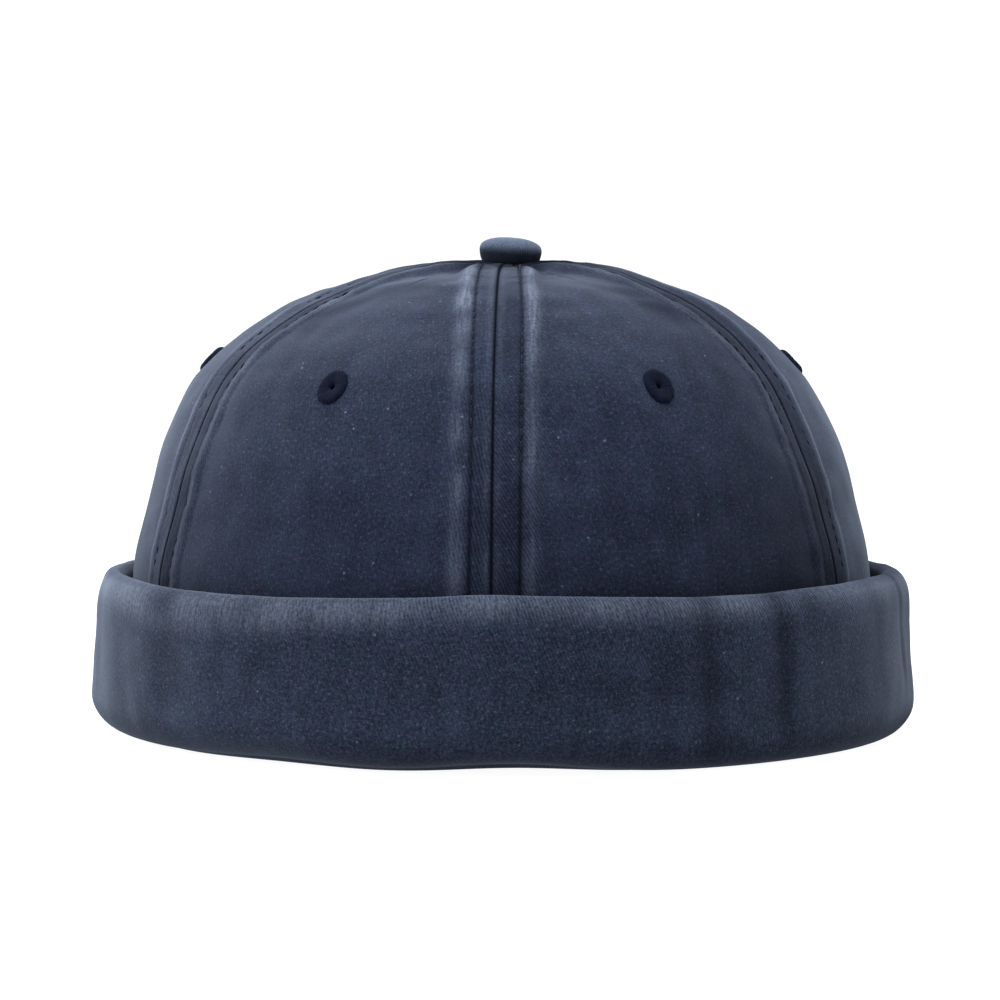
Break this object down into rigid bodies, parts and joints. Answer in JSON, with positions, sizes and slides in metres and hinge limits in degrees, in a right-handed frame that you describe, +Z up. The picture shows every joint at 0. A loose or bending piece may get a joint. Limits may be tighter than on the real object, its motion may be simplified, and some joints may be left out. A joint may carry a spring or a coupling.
{
  "type": "sailor cap",
  "caption": "Brimless sailor cap in washed cotton twill: a dome of sewn panels with stitched eyelets, a covered top button and a turned-up cuff.",
  "frame": {"origin": "centre of the cap's outline, on the surface that its cuff rests on", "axes": "+Z up through the top button, -Y towards the front of the cap, +X towards the right as the front is seen"},
  "size_m": [0.199, 0.2236, 0.1172],
  "materials": {
    "crown_cloth": "brushed and garment-washed cotton twill, navy, worn paler on the seam edges",
    "cuff_cloth": "the same washed navy cotton twill, with its diagonal showing",
    "eyelet_thread": "satin-stitched dark navy thread",
    "button_cloth": "navy cotton twill pulled tight over a domed disc",
    "post_steel": "plain"
  },
  "bodies": {
    "root": {"panel_front_right": "crown_cloth", "panel_side_right": "crown_cloth", "panel_back_right": "crown_cloth", "panel_back_left": "crown_cloth", "panel_side_left": "crown_cloth", "panel_front_left": "crown_cloth", "eyelet_front_right": "eyelet_thread", "eyelet_side_right": "eyelet_thread", "eyelet_back_right": "eyelet_thread", "eyelet_back_left": "eyelet_thread", "eyelet_side_left": "eyelet_thread", "eyelet_front_left": "eyelet_thread", "cuff": "cuff_cloth", "top_button": "button_cloth", "button_post": "post_steel"}
  },
  "joints": []
}
